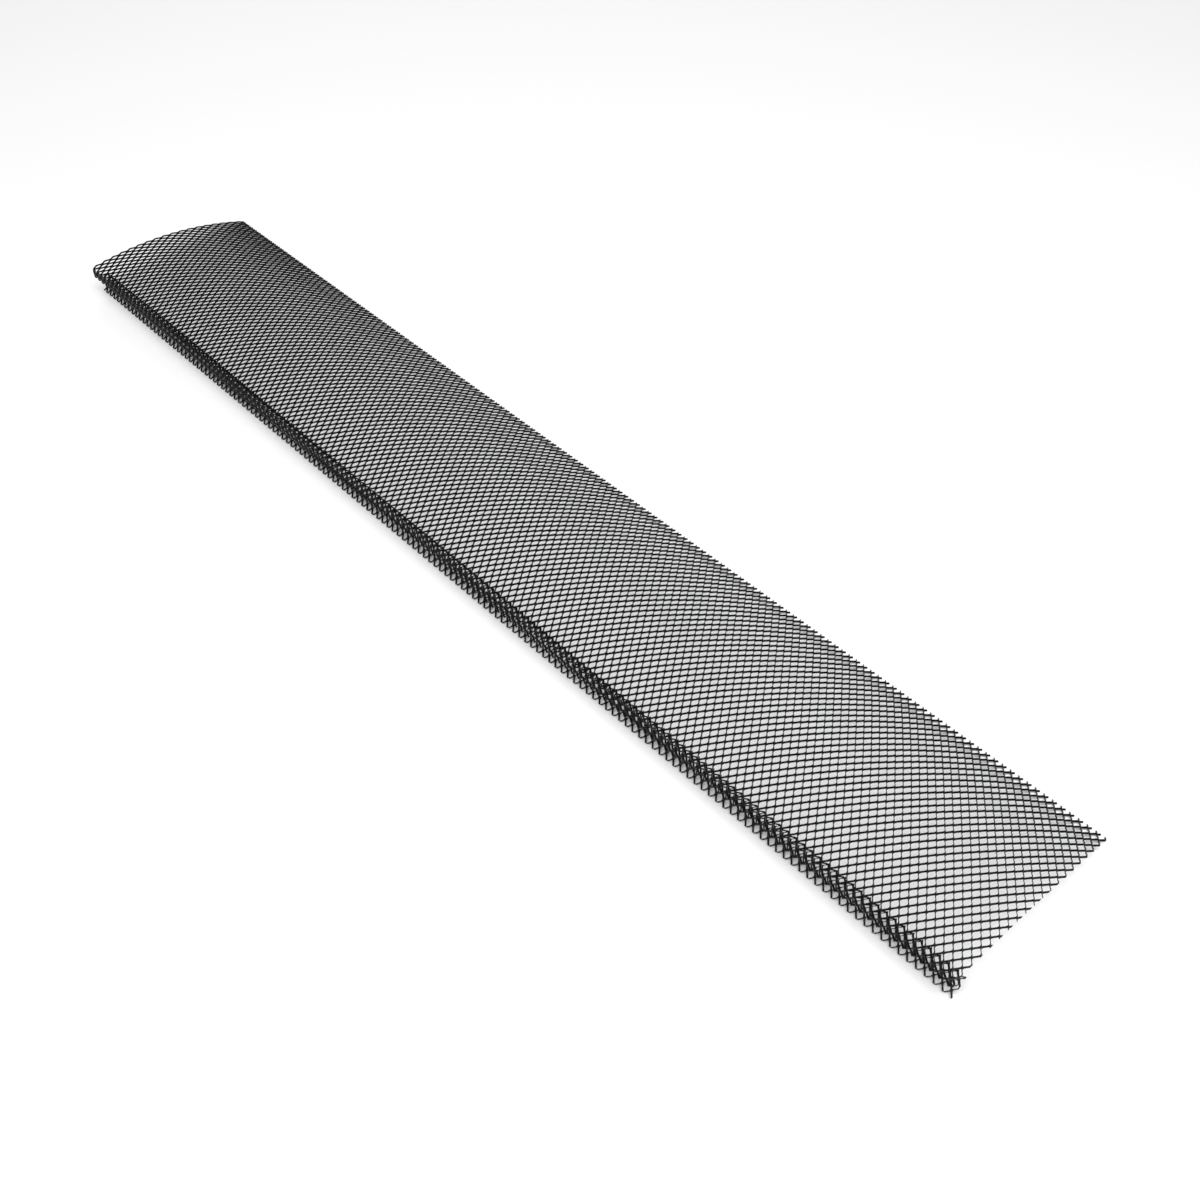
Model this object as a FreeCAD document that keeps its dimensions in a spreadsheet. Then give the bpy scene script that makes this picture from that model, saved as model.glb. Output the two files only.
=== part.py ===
import FreeCAD
import Part
import math
import os

# Gutter guard: one strip of expanded steel mesh, arched across its width and folded along its front
# edge into a lock that slips over the inturned lip of a gutter. Millimetres, +X along the strip, -Y to
# the front edge, +Z up. It lies as on a floor, on its rear edge and on the lock's free edge.
# The strip is made as flat panels that meet on rows of knuckles, each panel divided into bays.

Vector = FreeCAD.Vector
doc = FreeCAD.newDocument("GutterGuard")

# Driving dimensions in millimetres, and bends in degrees. The strands of raised mesh stand nearly on
# edge, so the mesh is deeper than a strand is wide.
driving = (
    ("strip_length", "914.4"),
    ("arch_width", "152.4"),
    ("arch_radius", "277"),
    ("front_height", "8.467"),
    ("flange_depth", "12.7"),
    ("leg_length", "16.933"),
    ("front_bend", "80"),
    ("flange_bend", "83"),
    ("leg_bend", "111"),
    ("cell_length", "6.096"),
    ("cell_width", "8.467"),
    ("strand_width", "0.8"),
    ("mesh_depth", "1.25"),
)
sizes = doc.addObject("Spreadsheet::Sheet", "Sizes")
for row, (alias, value) in enumerate(driving, start=1):
    sizes.set(f"A{row}", alias)
    sizes.set(f"B{row}", value)
    sizes.setAlias(f"B{row}", alias)
doc.recompute()

# How the strip is divided: flat facets across the arch, and bays along the length
facets = 6
bays = 5


def whole(count):
    return max(1, round(count))


# Whole diamonds fill each bay, and whole rows of half diamonds fill each panel
bayLength = sizes.strip_length / bays
bayCells = whole(bayLength / sizes.cell_length)
cellLength = bayLength / bayCells
facetWidth = sizes.arch_width / facets
facetTurn = 2 * math.degrees(math.asin(facetWidth / (2 * sizes.arch_radius)))

# The turn at each kind of bend, down towards the lower side of the sheet, and its half as an expression
facetBound = f"Sizes.arch_width / {facets}"
turns = {
    "edge": (0.0, "0"),
    "facet": (facetTurn, f"asin({facetBound} / (2 * Sizes.arch_radius))"),
    "front": (sizes.front_bend, "Sizes.front_bend * 0.5 deg"),
    "flange": (sizes.flange_bend, "Sizes.flange_bend * 0.5 deg"),
    "leg": (-sizes.leg_bend, "-Sizes.leg_bend * 0.5 deg"),
}
sharpBends = {"front", "flange", "leg"}

# Panels from the rear edge to the lock's free edge: name, width, its expression, bend before and after
panels = []
for facet in range(1, facets + 1):
    before = "edge" if facet == 1 else "facet"
    after = "front" if facet == facets else "facet"
    panels.append((f"arch_panel_{facet}", facetWidth, facetBound, before, after))
panels.append(("lock_front", sizes.front_height, "Sizes.front_height", "front", "flange"))
panels.append(("lock_flange", sizes.flange_depth, "Sizes.flange_depth", "flange", "leg"))
panels.append(("lock_leg", sizes.leg_length, "Sizes.leg_length", "leg", "edge"))


# Section: the middle line of the sheet as a chain of straight panels, run to the front and rise upward
def walkSection(heading):
    run = 0.0
    rise = 0.0
    places = []
    for name, width, widthBound, before, after in panels:
        heading -= turns[before][0]
        places.append((run, rise, heading, turns[before][0]))
        run += width * math.cos(math.radians(heading))
        rise += width * math.sin(math.radians(heading))
    places.append((run, rise, heading, 0.0))
    return places


# The sheet's two corners at one end or bend of the chain
def sheetCorners(place):
    run, rise, heading, turn = place
    facing = math.radians(heading + turn / 2)
    reach = sizes.mesh_depth / 2 / math.cos(math.radians(turn / 2))
    across = reach * math.sin(facing)
    upward = reach * math.cos(facing)
    return [(run - across, rise + upward), (run + across, rise - upward)]


def lowestCorner(place):
    return min(sheetCorners(place), key=lambda corner: corner[1])


# The first panel's heading that sets the rear edge and the lock's free edge on one level
def restingHeading():
    heading = 0.0
    for step in range(20):
        places = walkSection(heading)
        rear = lowestCorner(places[0])
        free = lowestCorner(places[-1])
        heading -= math.degrees(math.atan2(free[1] - rear[1], free[0] - rear[0]))
    return heading


sectionPlaces = walkSection(restingHeading())
floorLevel = lowestCorner(sectionPlaces[0])[1]
cornerRuns = [corner[0] for place in sectionPlaces for corner in sheetCorners(place)]
middleRun = (min(cornerRuns) + max(cornerRuns)) / 2


def rowsIn(width):
    return whole(width / (sizes.cell_width / 2))


# How far a panel's long edge passes its bend line: an edge to be mitred goes a little beyond the corner,
# and at the slight turns of the arch the square edges stop where their lower corners meet
def reachPast(bend):
    reach = sizes.mesh_depth / 2 * math.tan(math.radians(abs(turns[bend][0]) / 2))
    if bend in sharpBends:
        return reach + sizes.mesh_depth / 15
    return -reach


# Flat outline of one bay of a panel: diamonds between the knuckles, and half diamonds on its four edges.
# A row of openings stands on half cells and the next row on whole cells, where the bay's ends cut it.
def netFace(width, firstRow, before, after):
    rows = rowsIn(width)
    rowHeight = width / rows
    toStrand = cellLength / 2 * rowHeight / math.hypot(cellLength / 2, rowHeight)
    share = 1 - sizes.strand_width / 2 / toStrand
    halfAlong = cellLength / 2 * share
    halfAcross = rowHeight * share

    def onEnds(row):
        return (firstRow + row) % 2 == 1

    def centres(row):
        if onEnds(row):
            return [cell * cellLength for cell in range(bayCells + 1)]
        return [(cell + 0.5) * cellLength for cell in range(bayCells)]

    # Teeth of a long edge, where side is +1 if the panel lies past the edge and -1 if before it.
    # At a sharp bend the openings are held back, so that a knuckle keeps half a strand of its width.
    def teeth(row, reach, side):
        limit = row * rowHeight - side * reach
        apex = row * rowHeight + side * halfAcross
        halfGap = min(halfAlong * (1 + reach / halfAcross), cellLength / 2 - sizes.strand_width / 4)
        points = [(limit, 0.0)]
        for centre in centres(row):
            points += [(limit, centre - halfGap), (apex, centre), (limit, centre + halfGap)]
        points.append((limit, bayLength))
        if onEnds(row):
            return points[2:-2]
        return points

    # Notches of a short edge, where side points into the bay
    def notches(along, side):
        points = []
        for row in range(1, rows):
            if onEnds(row):
                middle = row * rowHeight
                points += [(middle - halfAcross, along), (middle, along + side * halfAlong)]
                points.append((middle + halfAcross, along))
        return points

    def wire(points):
        corners = [Vector(across, 0, along) for across, along in points]
        return Part.makePolygon(corners + corners[:1])

    border = teeth(0, reachPast(before), 1) + notches(bayLength, -1)
    border += teeth(rows, reachPast(after), -1)[::-1] + notches(0.0, 1)[::-1]
    wires = [wire(border)]
    for row in range(1, rows):
        middle = row * rowHeight
        inner = centres(row)[1:-1] if onEnds(row) else centres(row)
        for centre in inner:
            diamond = [(middle - halfAcross, centre), (middle, centre - halfAlong)]
            diamond += [(middle + halfAcross, centre), (middle, centre + halfAlong)]
            wires.append(wire(diamond))
    return Part.Face(wires)


# One bay of a panel: the flat net given the mesh's depth, and its long edges mitred at the sharp bends
def meshPanel(name, width, widthBound, before, after, firstRow):
    net = doc.addObject("Part::Feature", f"{name}_net")
    net.Shape = netFace(width, firstRow, before, after)
    sheet = doc.addObject("Part::Extrusion", f"{name}_sheet")
    sheet.Base = net
    sheet.DirMode = "Custom"
    sheet.Dir = Vector(0, 1, 0)
    sheet.Symmetric = True
    sheet.Solid = True
    sheet.setExpression("LengthFwd", "Sizes.mesh_depth")
    if sharpBends.isdisjoint((before, after)):
        doc.recompute()
        return sheet

    mitre = doc.addObject("Part::Wedge", f"{name}_mitre")
    mitre.setExpression("Ymin", "-Sizes.mesh_depth")
    mitre.setExpression("Ymax", "Sizes.mesh_depth")
    startShift = f"Sizes.mesh_depth * tan({turns[before][1]})"
    endShift = f"Sizes.mesh_depth * tan({turns[after][1]})"
    mitre.setExpression("Xmin", startShift)
    mitre.setExpression("X2min", f"-({startShift})")
    mitre.setExpression("Xmax", f"{widthBound} - ({endShift})")
    mitre.setExpression("X2max", f"{widthBound} + ({endShift})")
    for low, high in (("Zmin", "Zmax"), ("Z2min", "Z2max")):
        mitre.setExpression(low, "-Sizes.cell_length")
        mitre.setExpression(high, f"Sizes.strip_length / {bays} + Sizes.cell_length")

    mesh = doc.addObject("Part::Common", f"{name}_mesh")
    mesh.Base = sheet
    mesh.Tool = mitre
    mesh.Refine = False
    doc.recompute()
    return mesh


# A panel's frame: its x along the section, its y out of the sheet and its z back along the strip
def panelPlacement(place, bay):
    run, rise, heading, turn = place
    slope = math.radians(heading)
    along = Vector(0, -math.cos(slope), math.sin(slope))
    outward = Vector(0, math.sin(slope), math.cos(slope))
    facing = FreeCAD.Rotation(along, outward, Vector(-1, 0, 0), "ZXY")
    end = bay * bayLength - sizes.strip_length / 2
    return FreeCAD.Placement(Vector(end, middleRun - run, rise - floorLevel), facing)


# Each kind of panel is cut and checked once, and its bays repeat that one solid along the strip
kinds = {}
subParts = []
firstRow = 0
for panel, place in zip(panels, sectionPlaces):
    name, width, widthBound, before, after = panel
    kind = (widthBound, before, after, firstRow % 2)
    if kind not in kinds:
        mesh = meshPanel(*panel, firstRow)
        if mesh.Shape.isNull() or not mesh.Shape.isValid() or len(mesh.Shape.Solids) != 1:
            raise RuntimeError(f"{mesh.Label} is not one sound solid")
        kinds[kind] = mesh.Shape.Solids[0]
    firstRow += rowsIn(width)
    for bay in range(1, bays + 1):
        part = doc.addObject("Part::Feature", f"{name}_bay_{bay}")
        part.Shape = kinds[kind]
        part.Label = f"{name}_bay_{bay}"
        part.Placement = panelPlacement(place, bay)
        subParts.append(part)
doc.recompute()

for item in doc.Objects:
    if "Invalid" in item.State or "Error" in item.State:
        raise RuntimeError(f"{item.Label} failed")

os.makedirs("parts", exist_ok=True)
for part in subParts:
    part.Shape.exportStep(f"parts/{part.Label}.step")
    box = part.Shape.BoundBox
    print(f"{part.Label}: {part.Shape.Volume:.1f} mm3, y {box.YMin:.2f} to {box.YMax:.2f},"
          f" z {box.ZMin:.2f} to {box.ZMax:.2f}")
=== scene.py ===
import bpy
import bmesh
import math
from mathutils import Euler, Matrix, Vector


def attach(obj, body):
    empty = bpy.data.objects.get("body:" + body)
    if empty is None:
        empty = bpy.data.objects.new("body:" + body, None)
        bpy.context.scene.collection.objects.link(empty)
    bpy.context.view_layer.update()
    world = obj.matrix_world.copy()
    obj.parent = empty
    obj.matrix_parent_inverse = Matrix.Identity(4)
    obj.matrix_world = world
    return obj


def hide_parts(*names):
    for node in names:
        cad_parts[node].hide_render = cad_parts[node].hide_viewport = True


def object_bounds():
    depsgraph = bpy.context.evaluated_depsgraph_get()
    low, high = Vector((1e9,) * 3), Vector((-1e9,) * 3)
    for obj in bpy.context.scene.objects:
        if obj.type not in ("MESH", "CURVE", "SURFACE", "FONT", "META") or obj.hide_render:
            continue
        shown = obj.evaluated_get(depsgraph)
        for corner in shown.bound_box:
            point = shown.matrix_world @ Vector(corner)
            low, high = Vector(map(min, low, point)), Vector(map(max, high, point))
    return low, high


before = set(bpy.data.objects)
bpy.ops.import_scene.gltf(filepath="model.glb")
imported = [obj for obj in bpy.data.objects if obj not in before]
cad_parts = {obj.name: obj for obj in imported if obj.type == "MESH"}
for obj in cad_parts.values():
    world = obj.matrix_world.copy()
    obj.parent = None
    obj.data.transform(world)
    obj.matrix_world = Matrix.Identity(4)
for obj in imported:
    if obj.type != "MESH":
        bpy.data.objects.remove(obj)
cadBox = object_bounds()
mm = 0.001


def hexColour(code):  # sRGB hex to linear
    channels = [int(code[at:at + 2], 16) / 255 for at in (1, 3, 5)]
    linear = [c / 12.92 if c <= 0.04045 else ((c + 0.055) / 1.055) ** 2.4 for c in channels]
    return (*linear, 1.0)


def addNode(tree, kind, settings=None, values=None, links=None):  # one node with its settings, values and links
    node = tree.nodes.new(kind)
    for name, value in (settings or {}).items():
        setattr(node, name, value)
    for socket, value in (values or {}).items():
        node.inputs[socket].default_value = value
    for socket, source in (links or {}).items():
        tree.links.new(source, node.inputs[socket])
    return node


# The strip: expanded steel mesh, arched across its width and folded along its front edge into a lock.
# Sizes of the strip and its ribbons are in millimetres and degrees.
strip = {
    "length": 914.39,  # a hair under 36 in, so that rounding keeps the tips inside the CAD box
    "archRadius": 300.0,
    "archRows": 36 + 1 / 3,  # rows of half diamonds to the front bend; the rear edge is cut midway between knuckles
    "lockPanels": (  # rows, the bend before them and the curl along them
        (2, 80.0, 0.0),  # front
        (3, 83.0, 0.0),  # flange
        (4, -93.0, -36.0),  # leg, flared forward
    ),
    "freeEdgeLift": 0.25,  # of its middle line above the rear edge's, because the flared leg's mesh lies lower
    "freeEdgeTrim": 1 / 6,  # rows by which the free edge is cut short of its knuckles
    "rowPitch": 4.165,  # on the middle line, a little less than in the solids because the raised mesh is deeper
    "stepsPerRow": 6,
    "bays": 5,
}

# One ribbon of steel between two rows of slits: it waves across the strip and meets its neighbours at knuckles
ribbon = {
    "count": 301,  # along the strip; the last one is partly cut away
    "width": 1.25,
    "thickness": 0.58,
    "lean": 64.0,  # raised mesh: every ribbon leans towards the right-hand end
    "rise": 0.4,  # of each right-hand crest above the middle, and of each left-hand one below it
    "sharpness": 0.6,  # of the wave's turns, where 1 is a plain zigzag
    "creaseAngle": 40.0,  # past which an edge is shaded as a crease
}
rowCount = strip["archRows"] + sum(rows for rows, bend, curl in strip["lockPanels"])
lean = math.radians(ribbon["lean"])
ribbonReach = ribbon["width"] * math.cos(lean) + ribbon["thickness"] * math.sin(lean)  # along the strip
meshDepth = ribbon["width"] * math.sin(lean) + ribbon["thickness"] * math.cos(lean) + 2 * ribbon["rise"]
knuckleGap = 2 * ribbon["rise"] / math.tan(lean)  # along the strip, between ribbons joined edge to edge
tipReach = (ribbonReach - knuckleGap) / 2  # of the end ribbons' crests past the last pitch
ribbonPitch = (strip["length"] - 2 * tipReach) / ribbon["count"]


def walkSection(heading):  # middle line of the sheet, run to the front and rise upward
    step = strip["rowPitch"] / strip["stepsPerRow"]
    turns = [step / strip["archRadius"]] * round(strip["archRows"] * strip["stepsPerRow"])
    for rows, bend, curl in strip["lockPanels"]:
        steps = rows * strip["stepsPerRow"] - 1
        turns += [math.radians(bend)] + [math.radians(curl / steps)] * steps
    points = [Vector((0.0, 0.0))]
    for turn in turns:
        heading -= turn
        points.append(points[-1] + Vector((math.cos(heading), math.sin(heading))) * step)
    return points


def restingSection():  # turned until the rear edge and the lock's free edge are level, with the bends softened
    heading = 0.0
    for attempt in range(20):  # far more than it needs
        points = walkSection(heading)
        reach = points[-1] - points[0]
        heading -= math.atan2(reach.y - strip["freeEdgeLift"], reach.x)
    softened = [(before + here * 2 + after) / 4 for before, here, after in zip(points, points[1:], points[2:])]
    return [points[0]] + softened + [points[-1]]


def makeSectionCurve():  # set in the middle of the CAD box, with the rear edge's lower side on the floor
    points = restingSection()
    rearSlope = (points[1] - points[0]).normalized() * meshDepth / 2
    restHeight = meshDepth / 2 - ribbon["rise"]  # the rear edge is cut where no ribbon rises
    middle = (max(point.x for point in points) + meshDepth / 2 + points[0].x - rearSlope.y) / 2
    centre = (cadBox[0].y + cadBox[1].y) / 2
    curve = bpy.data.curves.new("stripSection", "CURVE")
    curve.dimensions = "3D"
    spline = curve.splines.new("POLY")
    spline.points.add(len(points) - 1)
    for place, point in zip(spline.points, points):
        y = centre + (middle - point.x) * mm
        place.co = (0.0, y, (point.y + restHeight) * mm, 1.0)
    section = bpy.data.objects.new("stripSection", curve)
    bpy.context.collection.objects.link(section)
    print("section of the strip has", len(points), "points")
    return section


def makeRibbonTree():
    tree = bpy.data.node_groups.new("wavingRibbons", "GeometryNodeTree")
    tree.interface.new_socket("Geometry", in_out="OUTPUT", socket_type="NodeSocketGeometry")
    kinds = {
        "NodeSocketInt": ("First Ribbon", "Ribbons", "Steps"),
        "NodeSocketFloat": ("Ribbon Pitch", "Ribbon Width", "Ribbon Thickness", "Lean", "Wave Reach", "Wave Rise",
                            "Sharpness", "Row Pitch", "Rows", "Edge Trim", "Start"),
        "NodeSocketObject": ("Section",),
        "NodeSocketMaterial": ("Coating",),
    }
    for kind, names in kinds.items():
        for name in names:
            tree.interface.new_socket(name, in_out="INPUT", socket_type=kind)
    sizes = addNode(tree, "NodeGroupInput").outputs
    width = addNode(tree, "ShaderNodeMath", {"operation": "MULTIPLY"}, None,
                    {0: sizes["Rows"], 1: sizes["Row Pitch"]}).outputs[0]

    # a straight ribbon of four sides, its length along z, leaning about its length
    bar = addNode(tree, "GeometryNodeMeshCylinder", None, {"Vertices": 4, "Radius": math.sqrt(0.5)},
                  {"Side Segments": sizes["Steps"], "Depth": width})
    square = addNode(tree, "GeometryNodeTransform", None, {"Rotation": (0.0, 0.0, math.radians(45.0))},
                     {"Geometry": bar.outputs["Mesh"]})
    scale = addNode(tree, "ShaderNodeCombineXYZ", None, {"Z": 1.0},
                    {"X": sizes["Ribbon Width"], "Y": sizes["Ribbon Thickness"]})
    clockwise = addNode(tree, "ShaderNodeMath", {"operation": "MULTIPLY"}, {1: -1.0}, {0: sizes["Lean"]})
    turn = addNode(tree, "ShaderNodeCombineXYZ", None, None, {"Z": clockwise.outputs[0]})
    halfWidth = addNode(tree, "ShaderNodeMath", {"operation": "MULTIPLY"}, {1: 0.5}, {0: width})
    shift = addNode(tree, "ShaderNodeCombineXYZ", None, None, {"Z": halfWidth.outputs[0]})
    leaning = addNode(tree, "GeometryNodeTransform", None, None,
                      {"Geometry": square.outputs[0], "Scale": scale.outputs[0], "Rotation": turn.outputs[0],
                       "Translation": shift.outputs[0]})

    # ribbons side by side along the strip, each in the middle of its pitch
    pitchesIn = addNode(tree, "ShaderNodeMath", {"operation": "ADD"}, {1: 0.5}, {0: sizes["First Ribbon"]})
    firstPlace = addNode(tree, "ShaderNodeMath", {"operation": "MULTIPLY"}, None,
                         {0: pitchesIn.outputs[0], 1: sizes["Ribbon Pitch"]})
    begin = addNode(tree, "ShaderNodeCombineXYZ", None, None, {"X": firstPlace.outputs[0]})
    spacing = addNode(tree, "ShaderNodeCombineXYZ", None, None, {"X": sizes["Ribbon Pitch"]})
    places = addNode(tree, "GeometryNodeMeshLine", None, None,
                     {"Count": sizes["Ribbons"], "Start Location": begin.outputs[0], "Offset": spacing.outputs[0]})
    copies = addNode(tree, "GeometryNodeInstanceOnPoints", None, None,
                     {"Points": places.outputs[0], "Instance": leaning.outputs[0]})
    flat = addNode(tree, "GeometryNodeRealizeInstances", None, None, {"Geometry": copies.outputs[0]})

    # each ribbon waves against its neighbours: its side is 1 if its number is odd and -1 if it is even
    position = addNode(tree, "GeometryNodeInputPosition")
    here = addNode(tree, "ShaderNodeSeparateXYZ", None, None, {0: position.outputs[0]}).outputs
    pitches = addNode(tree, "ShaderNodeMath", {"operation": "DIVIDE"}, None, {0: here["X"], 1: sizes["Ribbon Pitch"]})
    number = addNode(tree, "ShaderNodeMath", {"operation": "FLOOR"}, None, {0: pitches.outputs[0]})
    odd = addNode(tree, "ShaderNodeMath", {"operation": "FLOORED_MODULO"}, {1: 2.0}, {0: number.outputs[0]})
    side = addNode(tree, "ShaderNodeMath", {"operation": "MULTIPLY_ADD"}, {1: 2.0, 2: -1.0}, {0: odd.outputs[0]})

    # a half wave for each row, counted from the knuckles that the free edge falls short of
    fromRear = addNode(tree, "ShaderNodeMath", {"operation": "DIVIDE"}, None, {0: here["Z"], 1: sizes["Row Pitch"]})
    fromFreeEdge = addNode(tree, "ShaderNodeMath", {"operation": "SUBTRACT"}, None,
                           {0: sizes["Rows"], 1: fromRear.outputs[0]})
    fromKnuckles = addNode(tree, "ShaderNodeMath", {"operation": "ADD"}, None,
                           {0: fromFreeEdge.outputs[0], 1: sizes["Edge Trim"]})
    phase = addNode(tree, "ShaderNodeMath", {"operation": "MULTIPLY"}, {1: math.pi}, {0: fromKnuckles.outputs[0]})
    smooth = addNode(tree, "ShaderNodeMath", {"operation": "COSINE"}, None, {0: phase.outputs[0]})
    lowered = addNode(tree, "ShaderNodeMath", {"operation": "MULTIPLY"}, None,
                      {0: smooth.outputs[0], 1: sizes["Sharpness"]})
    sharpened = addNode(tree, "ShaderNodeMath", {"operation": "ARCSINE"}, None, {0: lowered.outputs[0]})
    crest = addNode(tree, "ShaderNodeMath", {"operation": "ARCSINE"}, None, {0: sizes["Sharpness"]})
    wave = addNode(tree, "ShaderNodeMath", {"operation": "DIVIDE"}, None,
                   {0: sharpened.outputs[0], 1: crest.outputs[0]})
    swing = addNode(tree, "ShaderNodeMath", {"operation": "MULTIPLY"}, None, {0: wave.outputs[0], 1: side.outputs[0]})
    along = addNode(tree, "ShaderNodeMath", {"operation": "MULTIPLY_ADD"}, None,
                    {0: swing.outputs[0], 1: sizes["Wave Reach"], 2: here["X"]})
    height = addNode(tree, "ShaderNodeMath", {"operation": "MULTIPLY_ADD"}, None,
                     {0: swing.outputs[0], 1: sizes["Wave Rise"], 2: here["Y"]})

    # the flat net takes the strip's section
    section = addNode(tree, "GeometryNodeObjectInfo", None, None, {"Object": sizes["Section"]})
    share = addNode(tree, "ShaderNodeMath", {"operation": "DIVIDE"}, None, {0: here["Z"], 1: width})
    sample = addNode(tree, "GeometryNodeSampleCurve", {"mode": "FACTOR", "use_all_curves": True}, None,
                     {"Curves": section.outputs["Geometry"], "Factor": share.outputs[0]})
    outward = addNode(tree, "ShaderNodeVectorMath", {"operation": "CROSS_PRODUCT"}, {1: (1.0, 0.0, 0.0)},
                      {0: sample.outputs["Tangent"]})
    raised = addNode(tree, "ShaderNodeVectorMath", {"operation": "SCALE"}, None,
                     {0: outward.outputs[0], "Scale": height.outputs[0]})
    onSection = addNode(tree, "ShaderNodeVectorMath", {"operation": "ADD"}, None,
                        {0: sample.outputs["Position"], 1: raised.outputs[0]})
    fromMiddle = addNode(tree, "ShaderNodeMath", {"operation": "ADD"}, None, {0: along.outputs[0], 1: sizes["Start"]})
    lengthwise = addNode(tree, "ShaderNodeCombineXYZ", None, None, {"X": fromMiddle.outputs[0]})
    place = addNode(tree, "ShaderNodeVectorMath", {"operation": "ADD"}, None,
                    {0: onSection.outputs[0], 1: lengthwise.outputs[0]})
    formed = addNode(tree, "GeometryNodeSetPosition", None, None,
                     {"Geometry": flat.outputs[0], "Position": place.outputs[0]})
    coated = addNode(tree, "GeometryNodeSetMaterial", None, None,
                     {"Geometry": formed.outputs[0], "Material": sizes["Coating"]})
    addNode(tree, "NodeGroupOutput", None, None, {0: coated.outputs[0]})
    print("ribbon tree has", len(tree.nodes), "nodes")
    return tree


# Galvanised steel with a black satin coating: nearly black, a little thinner in places, and with a soft sheen along
# each strand
coat = {
    "thick": "#070708",
    "thin": "#0f0f11",
    "patchSize": 40.0,  # of its thicker and thinner areas
    "grainSize": 2.5,  # of its uneven gloss
    "glossiest": 0.26,
    "dullest": 0.44,
    "specular": 0.22,
}


def makeBlackCoatedSteel():
    steel = bpy.data.materials.new("blackCoatedSteel")
    steel.use_nodes = True
    tree = steel.node_tree
    place = addNode(tree, "ShaderNodeTexCoord")
    grain = addNode(tree, "ShaderNodeTexNoise", None, {"Scale": 1 / (coat["grainSize"] * mm), "Detail": 3.0},
                    {"Vector": place.outputs["Object"]})
    patch = addNode(tree, "ShaderNodeTexNoise", None, {"Scale": 1 / (coat["patchSize"] * mm), "Detail": 2.0},
                    {"Vector": place.outputs["Object"]})
    tone = addNode(tree, "ShaderNodeMix", {"data_type": "RGBA"},
                   {"A": hexColour(coat["thick"]), "B": hexColour(coat["thin"])}, {"Factor": patch.outputs["Fac"]})
    gloss = addNode(tree, "ShaderNodeMapRange", None, {"To Min": coat["glossiest"], "To Max": coat["dullest"]},
                    {"Value": grain.outputs["Fac"]})
    shader = tree.nodes["Principled BSDF"]
    shader.inputs["Specular IOR Level"].default_value = coat["specular"]
    tree.links.new(tone.outputs["Result"], shader.inputs["Base Color"])
    tree.links.new(gloss.outputs["Result"], shader.inputs["Roughness"])
    print("coating is", steel.name)
    return steel


def makeBay(bay, tree, section, coating):
    perBay, leftOver = divmod(ribbon["count"], strip["bays"])
    isLast = bay == strip["bays"] - 1
    holder = bpy.data.objects.new("bayHolder", bpy.data.meshes.new("bayHolder"))
    bpy.context.collection.objects.link(holder)
    modifier = holder.modifiers.new("wavingRibbons", "NODES")
    modifier.node_group = tree
    values = {
        "First Ribbon": bay * perBay,
        "Ribbons": perBay + leftOver if isLast else perBay,
        "Ribbon Pitch": ribbonPitch * mm,
        "Ribbon Width": ribbon["width"] * mm,
        "Ribbon Thickness": ribbon["thickness"] * mm,
        "Lean": lean,
        "Wave Reach": (ribbonPitch - knuckleGap) / 2 * mm,
        "Wave Rise": ribbon["rise"] * mm,
        "Sharpness": ribbon["sharpness"],
        "Row Pitch": strip["rowPitch"] * mm,
        "Rows": rowCount,
        "Edge Trim": strip["freeEdgeTrim"],
        "Steps": round(rowCount * strip["stepsPerRow"]),
        "Start": -ribbonPitch * ribbon["count"] / 2 * mm,
        "Section": section,
        "Coating": coating,
    }
    for item in tree.interface.items_tree:
        if item.in_out == "INPUT":
            modifier[item.identifier] = values[item.name]
    graph = bpy.context.evaluated_depsgraph_get()
    mesh = bpy.data.meshes.new_from_object(holder.evaluated_get(graph), depsgraph=graph)
    mesh.name = f"meshBay{bay + 1}"
    mesh.set_sharp_from_angle(angle=math.radians(ribbon["creaseAngle"]))
    bpy.data.objects.remove(holder)
    piece = bpy.data.objects.new(mesh.name, mesh)
    bpy.context.collection.objects.link(piece)
    return piece


# The right-hand end is cut a little askew, so that its crests are whole at the back, open further on and
# whole again at the front, one ribbon further in
endCut = {
    "wholeUpTo": 30.0,  # across the strip from its middle to the rear, where the cut meets the last crests
    "insetAtFront": 4.0,  # from the end of the strip
}


def cutEnd(piece):
    half = strip["length"] / 2
    meets = Vector((half, endCut["wholeUpTo"], 0.0)) * mm
    front = Vector((half - endCut["insetAtFront"], cadBox[0].y / mm, 0.0)) * mm
    outward = Vector((meets.y - front.y, front.x - meets.x, 0.0))
    shape = bmesh.new()
    shape.from_mesh(piece.data)
    everything = shape.verts[:] + shape.edges[:] + shape.faces[:]
    cut = bmesh.ops.bisect_plane(shape, geom=everything, plane_co=meets, plane_no=outward, clear_outer=True)
    rims = [item for item in cut["geom_cut"] if isinstance(item, bmesh.types.BMEdge)]
    bmesh.ops.edgenet_fill(shape, edges=rims)
    shape.to_mesh(piece.data)
    shape.free()


section = makeSectionCurve()
ribbonTree = makeRibbonTree()
blackCoatedSteel = makeBlackCoatedSteel()
for bay in range(strip["bays"]):
    piece = makeBay(bay, ribbonTree, section, blackCoatedSteel)
    if bay == strip["bays"] - 1:
        cutEnd(piece)
    solids = [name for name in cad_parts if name.endswith(f"bay_{bay + 1}")]
    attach(piece, "root")
    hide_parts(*solids)
    print(piece.name, "has", len(piece.data.polygons), "faces and stands for", len(solids), "nodes")
bpy.data.objects.remove(section)

# Floor: plain pale studio paper, its side in metres
floorSheet = {"side": 12.0, "colour": "#f2f2f2", "roughness": 0.9}


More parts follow.
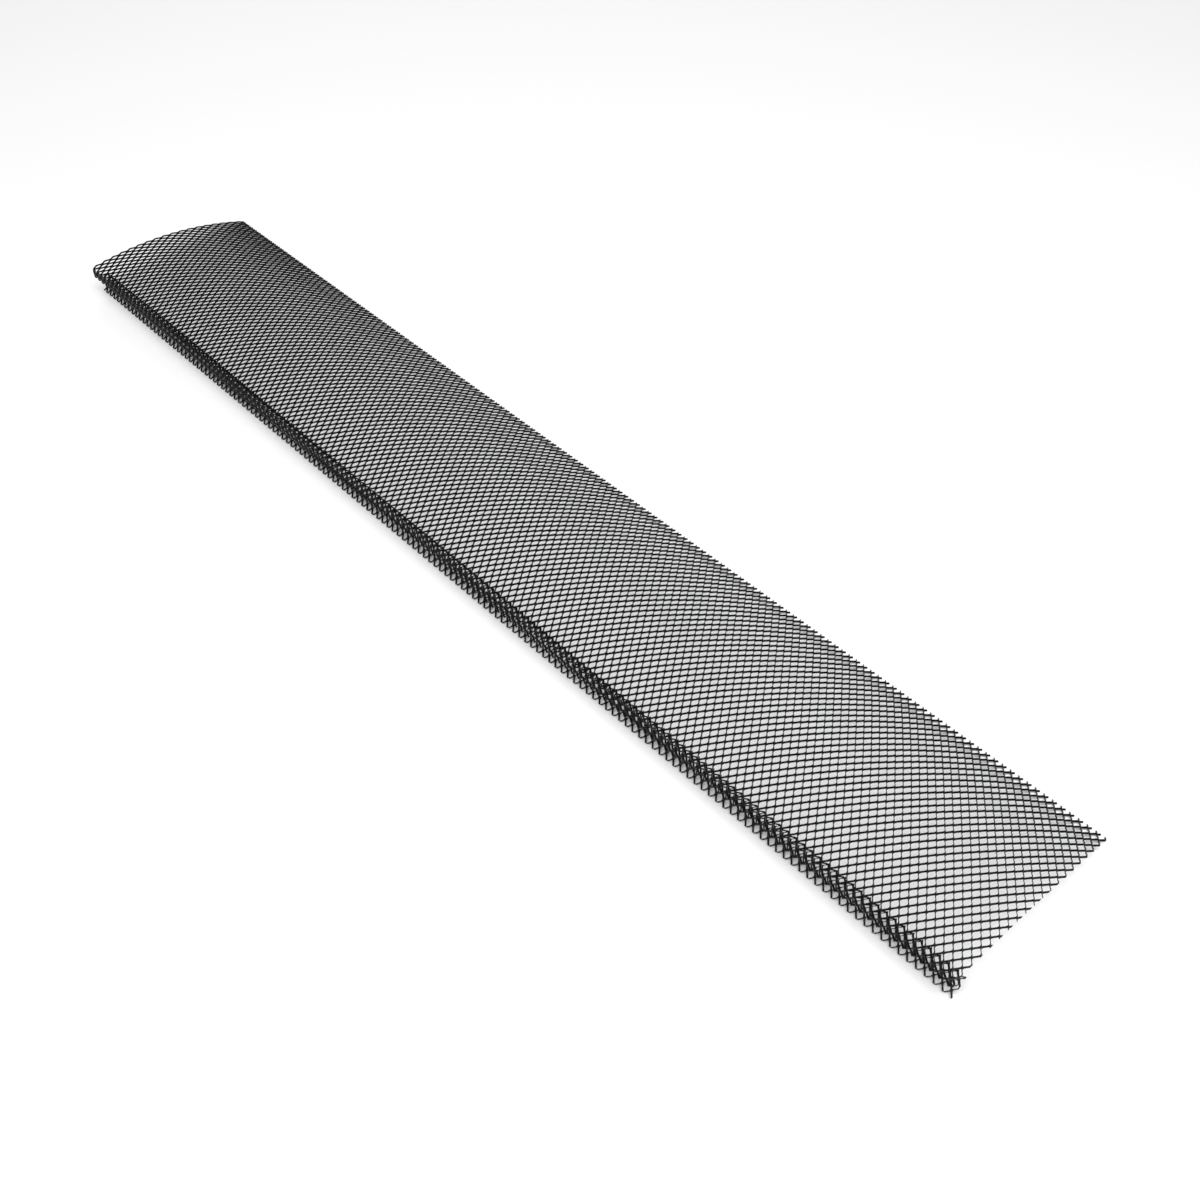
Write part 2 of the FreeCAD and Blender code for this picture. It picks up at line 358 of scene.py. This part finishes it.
def makeFloor():
    half = floorSheet["side"] / 2
    mesh = bpy.data.meshes.new("studioFloor")
    mesh.from_pydata([(-half, -half, 0), (half, -half, 0), (half, half, 0), (-half, half, 0)], [], [(0, 1, 2, 3)])
    floor = bpy.data.objects.new("studioFloor", mesh)
    bpy.context.collection.objects.link(floor)
    paper = bpy.data.materials.new("paleStudioPaper")
    paper.use_nodes = True
    shader = paper.node_tree.nodes["Principled BSDF"]
    shader.inputs["Base Color"].default_value = hexColour(floorSheet["colour"])
    shader.inputs["Roughness"].default_value = floorSheet["roughness"]
    mesh.materials.append(paper)
    print("floor is", floorSheet["side"], "m a side")


makeFloor()

# Light: a pale room and two large soft lamps, in metres and watts
room = {"colour": "#ffffff", "strength": 0.34}
lamps = {
    "front": {"place": (0.6, -0.5, 2.3), "size": (2.6, 1.2), "power": 68.0},
    "back": {"place": (-1.9, 1.3, 1.3), "size": (1.2, 1.2), "power": 8.0},
}
world = bpy.data.worlds.new("paleRoom")
world.use_nodes = True
background = world.node_tree.nodes["Background"]
background.inputs["Color"].default_value = hexColour(room["colour"])
background.inputs["Strength"].default_value = room["strength"]
bpy.context.scene.world = world
for name, lamp in lamps.items():
    light = bpy.data.lights.new(f"{name}Lamp", "AREA")
    light.shape = "RECTANGLE"
    light.size, light.size_y = lamp["size"]
    light.energy = lamp["power"]
    holder = bpy.data.objects.new(f"{name}Lamp", light)
    holder.location = lamp["place"]
    holder.rotation_euler = Vector(lamp["place"]).to_track_quat("Z", "Y").to_euler()  # towards the strip's middle
    bpy.context.collection.objects.link(holder)
    print(light.name, "has", lamp["power"], "W")

# Camera: beyond the right-hand end, in front of the strip and above it
view = {
    "place": (0.5639, -0.4096, 0.7059),  # metres
    "turn": (40.61, 1.787, 46.514),
    "focalLength": 40.44,
    "sensorWidth": 36.0,
    "nearClip": 0.01,  # metres
}
camera = bpy.data.objects.new("photoCamera", bpy.data.cameras.new("photoCamera"))
camera.location = view["place"]
camera.rotation_euler = Euler([math.radians(angle) for angle in view["turn"]])
camera.data.lens = view["focalLength"]
camera.data.sensor_width = view["sensorWidth"]
camera.data.clip_start = view["nearClip"]
bpy.context.collection.objects.link(camera)
bpy.context.scene.camera = camera
bpy.context.scene.view_settings.view_transform = "Standard"
print("camera has a focal length of", view["focalLength"], "mm")

print("CAD box", [list(corner) for corner in cadBox])
